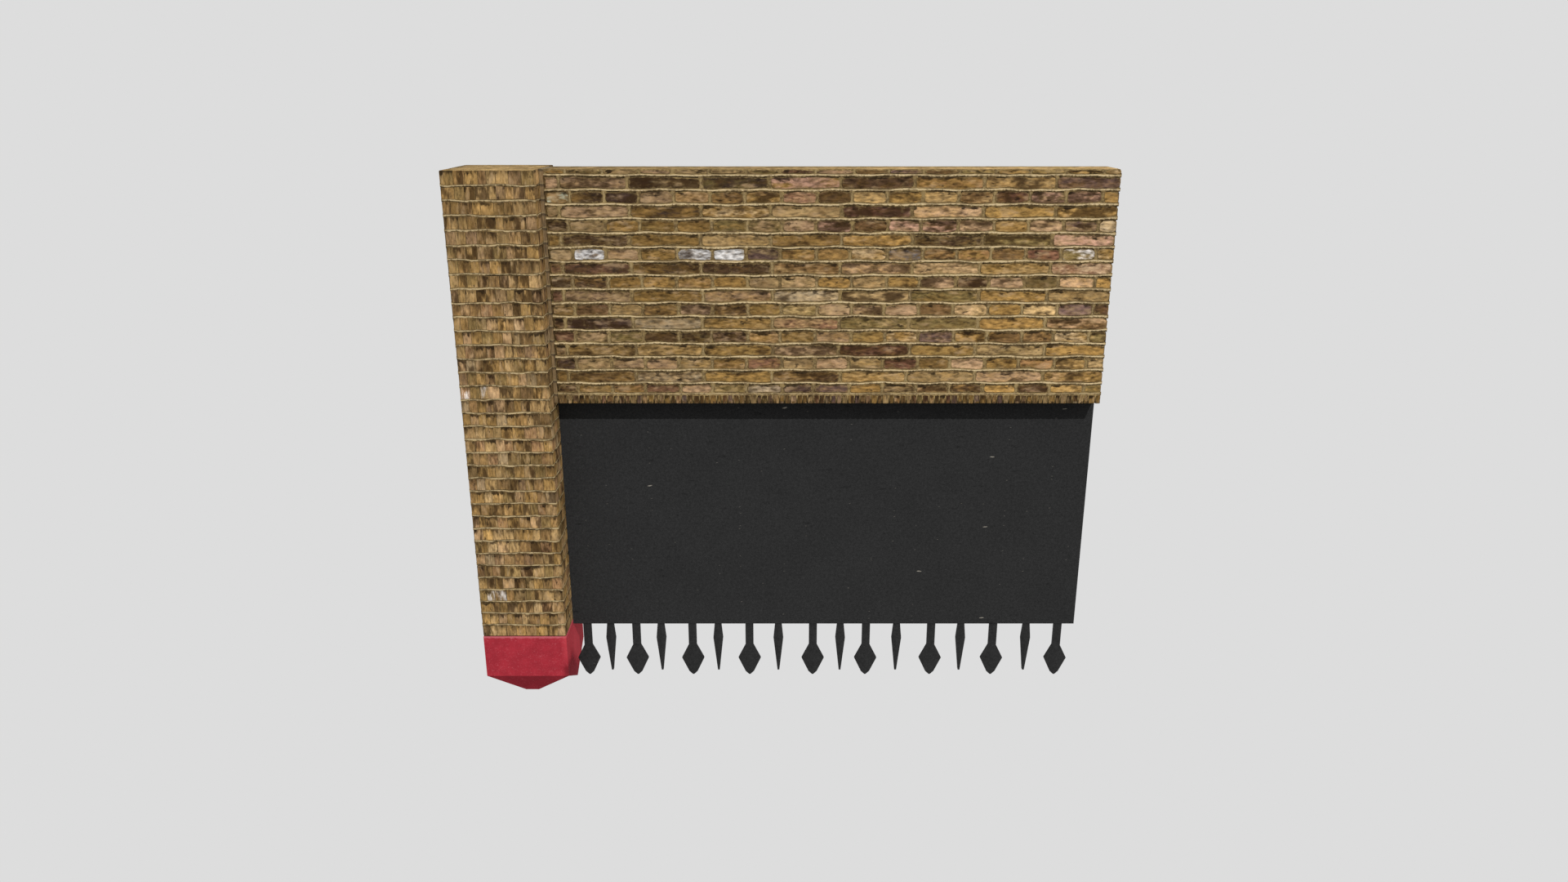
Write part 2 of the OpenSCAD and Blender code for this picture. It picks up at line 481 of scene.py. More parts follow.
def stone_material():
    """Red cap stone: mottled and scuffed, a painted highlight along its lower edge, painted shade below the
    gable on the screen's side with painted light under it, and painted shade on faces turned upwards.
    """
    material, nodes = new_material("red_cap_stone")
    place = nodes.place()
    x, y, z = nodes.split(place)
    low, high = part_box("cap_block")
    red = settings().finish.stone
    cloud = nodes.noise(place, 22.0, 4.0, 0.6)
    speck = nodes.noise(place, 190.0, 3.0, 0.7)
    scuff = nodes.noise(nodes.scaled(place, (60.0, 60.0, 150.0)), 1.0, 4.0, 0.7)
    # Painted highlight along the block's lower edge
    edge_highlight = 1.0 - nodes.step(z + (scuff - 0.5) * 0.03, low.z + EDGE_HIGHLIGHT_BAND[0], low.z + EDGE_HIGHLIGHT_BAND[1])
    colour = nodes.mix(nodes.step(cloud, 0.32, 0.70), times(red, 0.88), times(red, 1.10))
    colour = nodes.mix(nodes.step(speck, 0.54, 0.68) * 0.50, colour, STONE_PALE)
    colour = nodes.mix(nodes.step(1.0 - speck, 0.56, 0.74) * 0.40, colour, STONE_DEEP)
    colour = nodes.mix(nodes.step(scuff, 0.60, 0.70) * 0.45, colour, STONE_SCUFF)
    colour = nodes.mix(edge_highlight * 0.60, colour, STONE_EDGE_HIGHLIGHT)

    # Painted shade on the side next to the screen: its lower line runs level at the front, then climbs
    # towards the back
    inner = 1.0 - nodes.step(x, low.x + 0.004, low.x + 0.03)
    line = high.z - SHADE_DROP + ((y + SHADE_TURN) * SHADE_CLIMB | 0.0) + (cloud - 0.5) * 0.02
    soot = nodes.step(z - line, -0.020, 0.024) * inner
    # Painted light on the side below the painted shade
    painted_light = (1.0 - nodes.step(z - line, -0.06, 0.0)) * inner
    colour = nodes.mix(painted_light * 0.45, colour, STONE_PAINTED_LIGHT)
    colour = nodes.mix(soot * 0.50, colour, STONE_PAINTED_SHADE)

    # Painted shade: faces turned upwards are darker
    upward = nodes.split(nodes.add("ShaderNodeNewGeometry", out="Normal"))[2]
    colour = nodes.toned(colour, 1.0 - 0.13 * nodes.step(upward, 0.2, 0.5))
    nodes.opaque(colour, 0.78 + 0.16 * speck, 0.08, nodes.bump(speck * 0.5 + cloud, 0.0015, 0.4))
    return material


def paint_material(name, wear):
    """Dark matt paint: a fine even grain, faint drifts of dust, dark wisps and a few pale scratches."""
    material, nodes = new_material(name)
    place = nodes.place()
    dark = settings().finish.paint
    drift = nodes.noise(place, 4.0, 4.0, 0.6)
    grain = nodes.noise(place, 270.0, 3.0, 0.7)
    lump = nodes.noise(place, 90.0, 3.0, 0.7)
    wisp = nodes.step(nodes.noise(nodes.scaled(place, (14.0, 14.0, 46.0)), 1.0, 4.0, 0.65), 0.60, 0.74)
    colour = nodes.mix(nodes.step(drift, 0.36, 0.66) * 0.5, dark, times(dark, 0.86))
    colour = nodes.toned(colour, (0.12 + 1.76 * grain) * (0.42 + 1.16 * lump) * (1.02 - 0.45 * wisp))

    # Flecks and scratches lie in long, low cells that are a little tilted
    x, _, z = nodes.split(place)
    tilt = nodes.noise(place, 5.0, 2.0, 0.5) * 0.10
    rise = (z - x * SCRATCH_SLOPE + tilt) * SCRATCH_STRETCH
    flat = nodes.add("ShaderNodeCombineXYZ", None, {0: x, 1: rise})
    fleck = nodes.chips(flat, 11.0, 0.050, 0.11 * wear) * 0.30
    scratch = nodes.chips(flat, 3.6, 0.044, 0.09 * wear) * nodes.step(grain, 0.34, 0.46) * 0.70
    colour = nodes.mix(fleck | scratch, colour, SCRATCH)
    nodes.opaque(colour, 0.74 + 0.14 * drift, 0.05, nodes.bump(lump + grain * 0.3, 0.0010, 0.45))
    return material


def filler_material():
    """Weathered packing of the movement joint: brown, streaked downwards, with a stain at each bed joint."""
    material, nodes = new_material("joint_filler_compound")
    place = nodes.place()
    brown = settings().finish.filler
    rate = 1.0 / settings().brickwork.pier_course
    streak = nodes.noise(nodes.scaled(place, (150.0, 150.0, 16.0)), 1.0, 4.0, 0.65)
    crumb = nodes.noise(place, 110.0, 3.0, 0.6)
    level = nodes.split(place)[2] + (crumb - 0.5) * 0.012
    course = nodes.add("ShaderNodeMath", {"operation": "FRACT"}, {0: level * rate})
    colour = nodes.mix(nodes.step(streak, 0.30, 0.70), times(brown, 0.45), times(brown, 1.5))
    colour = nodes.mix((1.0 - nodes.step(course, 0.06, 0.22)) * 0.7, colour, FILLER_STAIN)
    colour = nodes.mix(nodes.step(course, 0.84, 0.96) * 0.6, colour, FILLER_RIDGE)
    nodes.opaque(colour, 0.78 + 0.18 * crumb, USUAL_GLOSS, nodes.bump(streak + crumb * 0.5, 0.002, 0.6))
    return material


# Brickwork

Face = namedtuple("Face", "origin along up out")
# Material slots of the brickwork
MORTAR, BRICK = 0, 1
# How far a brick's sides reach into the core
SKIRT = 0.004
# How far a brick stays behind the corner that it turns
CORNER = 0.0025
# Wear of a brick: grid cell, lumps, edge width and depth, rounding, bites, sway of its bed and the pitch
Wear = namedtuple("Wear", "cell lump edge depth rounding bite sway scallop")
WALL_WEAR = Wear(
    cell=0.0135, lump=0.0010, edge=0.0032, depth=0.0013,
    rounding=0.017, bite=0.0018, sway=0.0007, scallop=0.08)
SLIP_WEAR = Wear(
    cell=0.017, lump=0.0005, edge=0.0016, depth=0.0004,
    rounding=0.003, bite=0.0001, sway=0.0018, scallop=0.026)
TILE_WEAR = Wear(
    cell=0.017, lump=0.0010, edge=0.0025, depth=0.0010,
    rounding=0.004, bite=0.0008, sway=0.0010, scallop=0.026)
# Distance between the bites of an edge, and how much of them the lower and upper edges take
BITE_PITCH = 0.035
LOW_BITE = 1.5
TOP_BITE = 0.8
# Lines of points that a bite pushes back, from the edge inwards, and by what share
BITE_LINES = ((0, 1.0), (1, 0.7))
# Share of the worn edge's depth at the upper edge and at the ends
TOP_DEPTH = 0.3
END_DEPTH = 0.2
# Range of tone from course to course and from brick to brick, and how far the cover of blotches varies
COURSE_TONE = (0.88, 1.12)
BRICK_TONE = (0.80, 1.20)
COVER_RANGE = (-0.07, 0.07)
# Share of its own clay in a blotch, the rest being the brick's body
BLOTCH_SHARE = 0.55
# Waves of the courses: height, turns along and upwards in radians a metre, and start
WAVES = ((0.0016, 20.3, 31.0, 0.0), (0.0011, 49.0, -57.0, 1.3))
# Height over which the waves fade at the foot and head
WAVE_FADE = 0.03
# Upright joint: its lap over the bricks and over the beds, its rows of points and its depths across
PERPEND_LAP = 0.0060
PERPEND_BED_LAP = 0.003
PERPEND_ROWS = 5
PERPEND_DEPTHS = np.array([-0.0018, -0.0009, -0.0009, -0.0019])
# Unevenness of an upright joint: lean, points along the face and depth, and how pale it can be
PERPEND_LEAN = 0.0016
PERPEND_JITTER = 0.0007
PERPEND_ROUGH = 0.0008
PERPEND_PALE = 0.2
# Bed joint from its foot up: places across as shares of its thickness, and depths
BED_ACROSS = np.array([-1.10, -0.42, -0.10, 0.22, 0.46, 0.80])
BED_DEPTHS = np.array([-0.0018, -0.0008, -0.0004, -0.0012, -0.0046, -0.0056])
# Distance between a bed's points along it, and their unevenness upwards and in depth
BED_STEP = 0.015
BED_JITTER = 0.0004
BED_ROUGH = 0.0005
# The part of a bed that lies deeper than this varies along it, at a pitch
BED_GAP = -0.004
BED_GAP_PITCH = 0.07
# Core: cell of its faces, depth and rate of their dips, and the distance to an edge that its clay is given
CORE_CELL = 0.06
CORE_DIP = 0.0006
CORE_DIP_RATE = 25.0
CORE_REACH = 0.03
# Share of the recess by which the coping's core lies back
TILE_RECESS = 0.4
# The shortest brick that may end a course, and the lowest course
LEAST_END = 0.02
LEAST_COURSE = 0.001
# Place of the joint in the wall's free end, as a share of its width, beside stretchers and beside headers
END_BY_STRETCHERS = 0.5
END_BY_HEADERS = 0.72


def upright_face(x, y, z, along):
    """A face of a wall that starts at a point and runs along a level direction, seen from its outside."""
    along = Vector(along)
    up = Vector((0.0, 0.0, 1.0))
    return Face(Vector((x, y, z)), along, up, along.cross(up))


def side_faces(low, high, base):
    """The four upright faces of a box, each with its foot at a base height."""
    return {
        "front": upright_face(low.x, low.y, base, (1, 0, 0)),
        "right": upright_face(high.x, low.y, base, (0, 1, 0)),
        "back": upright_face(high.x, high.y, base, (-1, 0, 0)),
        "left": upright_face(low.x, high.y, base, (0, -1, 0)),
    }


def stops(length, count, edge):
    """Grid stops over a length, with one close to each end for the worn edge."""
    near = min(edge, length * 0.2)
    return np.concatenate(([0.0], np.linspace(near, length - near, count - 2), [length]))


def knots(length, pitch):
    """Even places over a length, less than a pitch apart, for values that vary along it."""
    return np.linspace(0.0, length, 3 + int(length / pitch))


def grid_quads(grid, flip=False):
    """The four-cornered faces between the points of a grid, turned over where flip says so."""
    corners = [grid[:-1, :-1], grid[:-1, 1:], grid[1:, 1:], grid[1:, :-1]]
    if flip:
        corners[1], corners[3] = corners[3], corners[1]
    return np.stack(corners, -1).reshape(-1, 4).tolist()


class Brickwork:
    """Collects the bricks of one piece in arrays and makes one joined mesh of them and their mortar."""

    def __init__(self, seed, tall, wear, pale, tone=1.0, even=0.0):
        self.random = np.random.default_rng(seed)
        self.tall = tall
        self.wear = wear
        self.pale = pale
        self.tone = tone
        self.even = even
        self.course_tone = 1.0
        self.sizes = settings().brickwork
        self.names = list(CLAY)
        chances = np.array([CLAY[name][1] for name in self.names], float)
        self.chances = chances / chances.sum()
        self.points = []
        self.faces = []
        self.materials = []
        self.marks = []
        self.reaches = []
        self.bodies = []
        self.blotches = []

    def count(self):
        """How many points there are so far."""
        return sum(len(block) for block in self.points)

    def clay(self, odd):
        """The clays of one brick, its body and its blotches, and how far the blotches spread."""
        drawn = self.random.choice(self.names, 2, p=self.chances)
        tone = self.tone * self.course_tone * self.random.uniform(*BRICK_TONE)
        cover = self.random.uniform(*COVER_RANGE)
        common = self.even * np.array(shade(COMMON_CLAY))
        own = 1.0 - self.even
        body, other = [(common + own * np.array(shade(CLAY[name][0]))) * tone for name in drawn]
        blotch = body * (1.0 - BLOTCH_SHARE) + other * BLOTCH_SHARE
        if odd:
            blotch = np.array(shade(ODD_CLAY[odd]))
            cover = ODD_COVER.get(odd, USUAL_COVER)
        return body, blotch, cover

    def warp(self, along, upward):
        """How far a point of a face rises or sinks with the wavy courses; nothing at the foot and head."""
        wave = sum(
            height * np.sin(along * level + upward * up + start) for height, level, up, start in WAVES)
        return wave * np.clip(np.minimum(upward, self.tall - upward) / WAVE_FADE, 0.0, 1.0)

    def store(self, face, along, upward, outward, faces, material):
        """Adds points on a face, given along it, up it and outwards from it, and the faces between them."""
        first = self.count()
        upward = upward + self.warp(along, upward)
        points = (np.array(face.origin) + np.outer(along, face.along) + np.outer(upward, face.up)
                  + np.outer(outward, face.out))
        self.points.append(points)
        self.faces += [[at + first for at in corners] for corners in faces]
        self.materials += [material] * len(faces)

    def colour(self, size, marks, reach, body, blotch):
        """Adds the colour data of the last points."""
        self.marks.append(np.tile(marks, (size, 1)) if np.ndim(marks) == 1 else marks)
        self.reaches.append(np.tile(reach, (size, 1)) if np.ndim(reach) == 1 else reach)
        self.bodies.append(np.tile((*body, 1.0), (size, 1)))
        self.blotches.append(np.tile((*blotch, 1.0), (size, 1)))

    def bites(self, places, length):
        """How far one edge of a brick is worn back at places along it, its rounded corners included."""
        wear = self.wear
        dents = knots(length, BITE_PITCH)
        worn = np.interp(places, dents, np.abs(self.random.normal(0.0, wear.bite, len(dents))))
        worn += np.abs(self.random.normal(0.0, wear.bite * 0.4, len(places)))
        for away in (places, length - places):
            radius = self.random.uniform(0.35, 1.0) * min(wear.rounding, length * 0.3)
            inside = np.clip(radius - away, 0.0, radius * 0.7)
            worn += radius - np.sqrt(radius ** 2 - inside ** 2)
        return worn

    def worn_face(self, width, height):
        """A grid over one brick's lumpy face with worn edges: places along, upwards and outwards."""
        wear = self.wear
        columns = 4 + int(width / wear.cell)
        rows = 4 + int(height / wear.cell)
        along, upward = np.meshgrid(stops(width, columns, wear.edge), stops(height, rows, wear.edge))
        outward = -self.random.uniform(0.0, wear.lump, along.shape) - self.random.uniform(0.0, wear.lump)
        left, right = [self.bites(upward[:, 0], height) for _ in range(2)]
        low, top = [self.bites(along[0], width) * share for share in (LOW_BITE, TOP_BITE)]
        for line, share in BITE_LINES:
            along[:, line] += share * left
            along[:, -1 - line] -= share * right
            upward[line, :] += share * low
            upward[-1 - line, :] -= share * top
        outward[0, :] -= wear.depth
        outward[-1, :] -= wear.depth * TOP_DEPTH
        outward[:, [0, -1]] -= wear.depth * END_DEPTH
        return along, upward, outward

    def lay(self, face, span, rise, odd):
        """Adds one closed brick that fills a span along a face and a rise up it."""
        width = span[1] - span[0]
        height = rise[1] - rise[0]
        along, upward, outward = self.worn_face(width, height)
        grid = np.arange(along.size).reshape(along.shape)
        loop = np.concatenate((grid[0, :-1], grid[:-1, -1], grid[-1, :0:-1], grid[:0:-1, 0]))
        skirt = np.arange(len(loop)) + along.size
        sides = np.stack((np.roll(loop, -1), loop, skirt, np.roll(skirt, -1)), -1)
        faces = [*grid_quads(grid), *sides.tolist(), skirt[::-1].tolist()]
        along = np.concatenate((along.ravel(), along.ravel()[loop]))
        upward = np.concatenate((upward.ravel(), upward.ravel()[loop]))
        outward = np.concatenate((outward.ravel(), np.full(len(loop), -self.sizes.recess - SKIRT)))
        self.store(face, along + span[0], upward + rise[0], outward, faces, BRICK)
        body, blotch, cover = self.clay(odd)
        reach = np.stack((along, width - along, upward, height - upward), -1)
        char = self.random.uniform() ** 2
        self.colour(len(along), (self.random.uniform(), cover, char, 1.0), reach, body, blotch)

    def joint_colour(self, across, rows, pale):
        """Adds the colour data of a struck joint: how pale its ridge is and the place across it."""
        marks = np.zeros((rows * len(across), 4))
        marks[:, 1] = pale
        marks[:, 2] = np.tile((across - across[0]) / (across[-1] - across[0]), rows)
        blank = np.zeros(3)
        self.colour(len(marks), marks, np.zeros(4), blank, blank)

    def perpend(self, face, at, rise):
        """Adds the mortar of one upright joint, bulging a little between its two bricks."""
        half = self.sizes.perpend / 2
        across = np.array([-half - PERPEND_LAP, -half * 0.5, half * 0.5, half + PERPEND_LAP])
        grid = np.arange(PERPEND_ROWS * len(across)).reshape(PERPEND_ROWS, len(across))
        foot = max(rise[0] - PERPEND_BED_LAP, 0.0)
        head = min(rise[1] + PERPEND_BED_LAP, self.tall)
        lean = self.random.normal(0.0, PERPEND_LEAN, PERPEND_ROWS)
        along = (at + lean[:, None] + across + self.random.normal(0.0, PERPEND_JITTER, grid.shape)).ravel()
        upward = np.repeat(np.linspace(foot, head, PERPEND_ROWS), len(across))
        outward = np.tile(PERPEND_DEPTHS, PERPEND_ROWS) - self.random.uniform(0.0, PERPEND_ROUGH, along.size)
        self.store(face, along, upward, outward, grid_quads(grid), MORTAR)
        self.joint_colour(across, PERPEND_ROWS, self.random.uniform(0.0, PERPEND_PALE))

    def bed(self, face, run, level):
        """Adds the struck mortar of one bed joint: flush with the brick below, set back under that above."""
        rows = max(2, round(run / BED_STEP)) + 1
        grid = np.arange(rows * len(BED_ACROSS)).reshape(rows, len(BED_ACROSS))
        places = np.linspace(0.0, run, rows)
        along = np.repeat(places, len(BED_ACROSS))
        turns = knots(run, self.wear.scallop)
        sway = np.interp(places, turns, self.random.normal(0.0, self.wear.sway, len(turns)))
        jitter = self.random.normal(0.0, BED_JITTER, grid.shape)
        upward = (level + BED_ACROSS * self.sizes.bed + sway[:, None] + jitter).ravel()
        turns = knots(run, BED_GAP_PITCH)
        fall = np.interp(places, turns, self.random.uniform(0.0, 1.0, len(turns)))
        outward = np.where(BED_DEPTHS < BED_GAP, np.outer(fall, BED_DEPTHS), BED_DEPTHS).ravel()
        outward = outward - self.random.uniform(0.0, BED_ROUGH, along.size)
        self.store(face, along, upward, outward, grid_quads(grid, flip=True), MORTAR)
        self.joint_colour(BED_ACROSS, rows, self.pale)

    def course(self, face, rise, joints, gap, odds=(), mortared=False):
        """Lays the bricks of one course between its joints; odds are places and clays of rare bricks."""
        last = len(joints) - 2
        self.course_tone = self.random.uniform(*COURSE_TONE)
        for at, (left, right) in enumerate(zip(joints, joints[1:])):
            span = (left + (gap / 2 if at else CORNER), right - (gap / 2 if at < last else CORNER))
            odd = next((clay for place, clay in odds if left <= place < right), None)
            self.lay(face, span, rise, odd)
            if at and mortared:
                self.perpend(face, left, rise)

    def core(self, low, high):
        """Adds the mortar body between two corners, as one closed skin with a slightly uneven face."""
        mesh = bmesh.new()
        for axis in range(3):
            for side in (low, high):
                self.core_side(mesh, low, high, axis, side)
        bmesh.ops.remove_doubles(mesh, verts=mesh.verts, dist=1e-6)
        bmesh.ops.recalc_face_normals(mesh, faces=mesh.faces)
        first = self.count()
        mesh.verts.ensure_lookup_table()
        mesh.verts.index_update()
        points = np.array([vert.co for vert in mesh.verts])
        self.points.append(points)
        for face in mesh.faces:
            self.faces.append([vert.index + first for vert in face.verts])
            self.materials.append(BRICK if face.normal.z < -0.9 else MORTAR)
        mesh.free()
        body, blotch = [shade(CLAY[name][0]) for name in ("straw", "olive")]
        self.colour(len(points), np.zeros(4), np.full(4, CORE_REACH), body, blotch)

    @staticmethod
    def core_side(mesh, low, high, axis, side):
        """Adds one side of the mortar body as a grid."""
        across, upward = [other for other in range(3) if other != axis]
        columns, lines = [max(1, round((high[way] - low[way]) / CORE_CELL)) for way in (across, upward)]
        rows = []
        for j in range(lines + 1):
            row = []
            for i in range(columns + 1):
                point = [0.0, 0.0, 0.0]
                point[axis] = side[axis]
                point[across] = low[across] + (high[across] - low[across]) * i / columns
                point[upward] = low[upward] + (high[upward] - low[upward]) * j / lines
                inner = 0 < i < columns and 0 < j < lines
                if inner and axis != 2:
                    dip = CORE_DIP * abs(noise.noise(Vector(point) * CORE_DIP_RATE))
                    point[axis] += dip if side is low else -dip
                row.append(mesh.verts.new(point))
            rows.append(row)
        for lower, upper in zip(rows, rows[1:]):
            for i in range(columns):
                mesh.faces.new((lower[i], lower[i + 1], upper[i + 1], upper[i]))

    def piece(self, name, clay):
        """Makes the mesh object, with mortar and a clay as its materials."""
        mesh = bpy.data.meshes.new(name)
        mesh.from_pydata(np.concatenate(self.points).tolist(), [], self.faces)
        for material in ("lime_mortar", clay):
            mesh.materials.append(bpy.data.materials[material])
        mesh.polygons.foreach_set("material_index", self.materials)
        data = {
            "brick_marks": self.marks,
            "brick_reach": self.reaches,
            "brick_body": self.bodies,
            "brick_blotch": self.blotches,
        }
        for label, blocks in data.items():
            layer = mesh.attributes.new(label, "FLOAT_COLOR", "POINT")
            layer.data.foreach_set("color", np.concatenate(blocks).astype(np.float32).ravel())
        mesh.shade_smooth()
        mesh.update()
        piece = bpy.data.objects.new(name, mesh)
        bpy.context.scene.collection.objects.link(piece)
        weighted = piece.modifiers.new("weighted_normals", "WEIGHTED_NORMAL")
        weighted.weight = 90
        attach(piece, BODY)
        return piece


def even_joints(length, start, pitch, random, jitter):
    """Joint places over a length: the first piece, then a pitch for each brick, and the ends."""
    inner = []
    at = start
    while at < length - LEAST_END:
        inner.append(at + random.uniform(-jitter, jitter))
        at += pitch
    return [0.0, *inner, length]


def mirrored(joints):
    """The same joints measured from the other end."""
    return [joints[-1] - at for at in reversed(joints)]


def random_joints(length, least, most, random):
    """Joint places over a length with units of random width."""
    inner = [0.0]
    while inner[-1] + most + least < length:
        inner.append(inner[-1] + random.uniform(least, most))
    if length - inner[-1] > most:
        inner.append((inner[-1] + length) / 2)
    return [*inner, length]


# Odd bricks of the wall's front: course, distance from the pier's end and clay
WALL_ODD = [
    (0, 0.432, "soot"), (0, 0.759, "soot"), (0, 0.945, "pink"),
    (1, 0.009, "mint"), (1, 0.159, "soot"), (1, 0.289, "soot"), (1, 1.851, "pink"), (1, 1.977, "pink"),
    (2, 0.356, "soot"),
    (3, 1.082, "pink"), (3, 1.276, "pink"), (3, 1.470, "pink"),
    (4, 2.055, "pink"),
    (5, 0.172, "white"), (5, 0.567, "white"), (5, 0.686, "white"), (5, 1.322, "slate"), (5, 1.998, "chalk"),
    (6, 0.123, "soot"), (6, 0.412, "soot"),
]
# Odd slips of the pier's front: course, distance from the outer corner and clay
PIER_ODD = [(15, 0.031, "chalk"), (15, 0.094, "chalk"), (31, 0.037, "chalk"), (31, 0.100, "chalk")]


def odd_places(rows, course, length):
    """Where the odd bricks of one course lie along a face, with their clays."""
    return [(length - away, clay) for row, away, clay in rows if row == course]


class GARDENWALL_OT_materials(bpy.types.Operator):
    """Mixes the finishes that the brickwork shares"""

    bl_idname = "garden_wall.materials"
    bl_label = "Finishes"

    def execute(self, context):
        clay_material(
            "wall_clay", streaks=(13.0, 13.0, 32.0), rim=0.0052, lost=0.90,
            contrast=2.7, weather=0.3, drift=0.55)
        clay_material(
            "pier_clay", streaks=(42.0, 42.0, 13.0), rim=0.0030, lost=0.30,
            contrast=1.9, weather=2.4)
        clay_material(
            "coping_clay", streaks=(55.0, 55.0, 16.0), rim=0.0028, lost=0.25,
            contrast=1.9, weather=0.8)
        mortar_material()
        return {"FINISHED"}


class GARDENWALL_OT_wall_brickwork(bpy.types.Operator):
    """Lays the dwarf wall in alternate courses of stretchers and headers"""

    bl_idname = "garden_wall.wall_brickwork"
    bl_label = "Dwarf wall brickwork"

    def execute(self, context):
        sizes = settings().brickwork
        low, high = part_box("dwarf_wall")
        work = Brickwork(sizes.seed, high.z, WALL_WEAR, pale=0.95)
        recess = sizes.recess
        work.core((low.x + recess, low.y + recess, low.z), (high.x, high.y - recess, high.z))
        faces = side_faces(low, high, 0.0)
        runs = {"front": high.x - low.x, "back": high.x - low.x, "left": high.y - low.y}
        bottom = low.z
        course = -1
        while bottom < high.z - LEAST_COURSE:
            top = min(high.z, bottom + (sizes.course if bottom > low.z else sizes.base_cut))
            rise = (bottom + (sizes.bed / 2 if course >= 0 else 0.0), top - sizes.bed / 2)
            for side, run in runs.items():
                self.lay_side(work, side, faces[side], run, rise, course)
                if top < high.z:
                    work.bed(faces[side], run, top)
            bottom = top
            course += 1
        piece = work.piece("wall_brickwork", "wall_clay")
        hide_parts("dwarf_wall")
        return {"FINISHED"}

    @staticmethod
    def lay_side(work, side, face, run, rise, course):
        """Lays one course on one side; the wall's free end takes two bricks."""
        sizes = work.sizes
        stretchers = course % 2 == 0
        start = sizes.stretcher_start if stretchers else sizes.header_start
        pitch = sizes.stretcher if stretchers else sizes.header
        odds = ()
        if side == "left":
            joints = [0.0, run * (END_BY_STRETCHERS if stretchers else END_BY_HEADERS), run]
        else:
            joints = even_joints(run, start, pitch, work.random, jitter=0.006)
        if side == "front":
            joints = mirrored(joints)
            odds = odd_places(WALL_ODD, course, run)
        work.course(face, rise, joints, sizes.perpend, odds, mortared=True)


class GARDENWALL_OT_coping_tiles(bpy.types.Operator):
    """Sets the coping tiles on edge along the top of the dwarf wall"""

    bl_idname = "garden_wall.coping_tiles"
    bl_label = "Coping tiles"

    def execute(self, context):
        sizes = settings().brickwork
        low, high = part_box("wall_coping")
        length = high.x - low.x
        depth = high.y - low.y
        work = Brickwork(sizes.seed + 1, high.z - low.z, TILE_WEAR, pale=0.45, tone=0.64)
        recess = sizes.recess * TILE_RECESS
        work.core((low.x + recess, low.y + recess, low.z), (high.x, high.y - recess, high.z - recess))
        joints = even_joints(length, sizes.tile, sizes.tile, work.random, jitter=0.003)
        rise = (sizes.bed / 2, high.z - low.z)
        faces = side_faces(low, high, low.z)
        corner = Vector((low.x, low.y, high.z))
        top = Face(corner, Vector((1, 0, 0)), Vector((0, 1, 0)), Vector((0, 0, 1)))
        work.course(faces["front"], rise, joints, sizes.tile_joint)
        work.course(faces["back"], rise, mirrored(joints), sizes.tile_joint)
        work.course(top, (0.0, depth), joints, sizes.tile_joint)
        work.course(faces["left"], rise, [0.0, depth], sizes.tile_joint)
        for side, run in (("front", length), ("back", length), ("left", depth)):
            work.bed(faces[side], run, 0.0)
        piece = work.piece("coping_tiles", "coping_clay")
        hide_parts("wall_coping")
        return {"FINISHED"}


class GARDENWALL_OT_pier_brickwork(bpy.types.Operator):
    """Lays the pier in level courses of narrow upright slips"""

    bl_idname = "garden_wall.pier_brickwork"
    bl_label = "Pier brickwork"

    def execute(self, context):
        sizes = settings().brickwork
        low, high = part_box("pier_shaft")
        width = high.x - low.x
        work = Brickwork(sizes.seed + 2, high.z, SLIP_WEAR, pale=0.65, tone=1.16, even=0.48)
        recess = sizes.recess
        work.core((low.x + recess, low.y + recess, low.z), (high.x - recess, high.y - recess, high.z))
        faces = side_faces(low, high, 0.0)
        courses = round((high.z - low.z) / sizes.pier_course)
        pitch = (high.z - low.z) / courses
        for course in range(courses):
            rise = (course * pitch + (sizes.bed / 2 if course else 0.0), (course + 1) * pitch - sizes.bed / 2)
            for side, face in faces.items():
                joints = random_joints(width, sizes.slip_least, sizes.slip_most, work.random)
                odds = odd_places(PIER_ODD, course, width) if side == "front" else ()
                work.course(face, rise, joints, sizes.slip_joint, odds)
                if course:
                    work.bed(face, width, course * pitch)
        piece = work.piece("pier_brickwork", "pier_clay")
        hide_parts("pier_shaft")
        return {"FINISHED"}


# Carried-over solids


def dress(name, material):
    """Gives a carried-over solid a material."""
    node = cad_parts[name]
    node.data.materials.clear()
    node.data.materials.append(material)


class GARDENWALL_OT_screen(bpy.types.Operator):
    """Paints the screen's sheets, frame and finials"""

    bl_idname = "garden_wall.screen"
    bl_label = "Screen paint"

    def execute(self, context):
        sheet = paint_material("screen_paint", wear=0.6)
        finial = paint_material("finial_paint", wear=0.2)
        for name in SHEETS + RAILS:
            dress(name, sheet)
        for name in FINIALS:
            dress(name, finial)
        return {"FINISHED"}


class GARDENWALL_OT_cap(bpy.types.Operator):
    """Gives the pier's cap its red stone and the movement joint its filler"""

    bl_idname = "garden_wall.cap"
    bl_label = "Cap stone and joint filler"

    def execute(self, context):
        stone = stone_material()
        dress("cap_block", stone)
        dress("cap_roof", stone)
        dress("joint_filler", filler_material())
        return {"FINISHED"}


# Stage

SENSOR_WIDTH = 36.0
FLOOR_REACH = 30.0
FLOOR_GREY = (0.62, 0.62, 0.62)
FLOOR_GLOW = 0.30


def add_light(name, strength, angle, travel):
    """Adds a sun of a width in degrees that shines along a direction."""
    light = bpy.data.lights.new(name, "SUN")
    light.energy = strength
    light.angle = math.radians(angle)
    lamp = bpy.data.objects.new(name, light)
    lamp.rotation_mode = "QUATERNION"
    lamp.rotation_quaternion = Vector(travel).to_track_quat("-Z", "Y")
    bpy.context.scene.collection.objects.link(lamp)


def seen_rays(nodes):
    """1 for rays that show the background: camera, glossy and transmission rays."""
    path = nodes.add("ShaderNodeLightPath")
    rays = [Socket(nodes, path.output.node.outputs[name])
            for name in ("Is Camera Ray", "Is Glossy Ray", "Is Transmission Ray")]
    return rays[0] | rays[1] | rays[2]


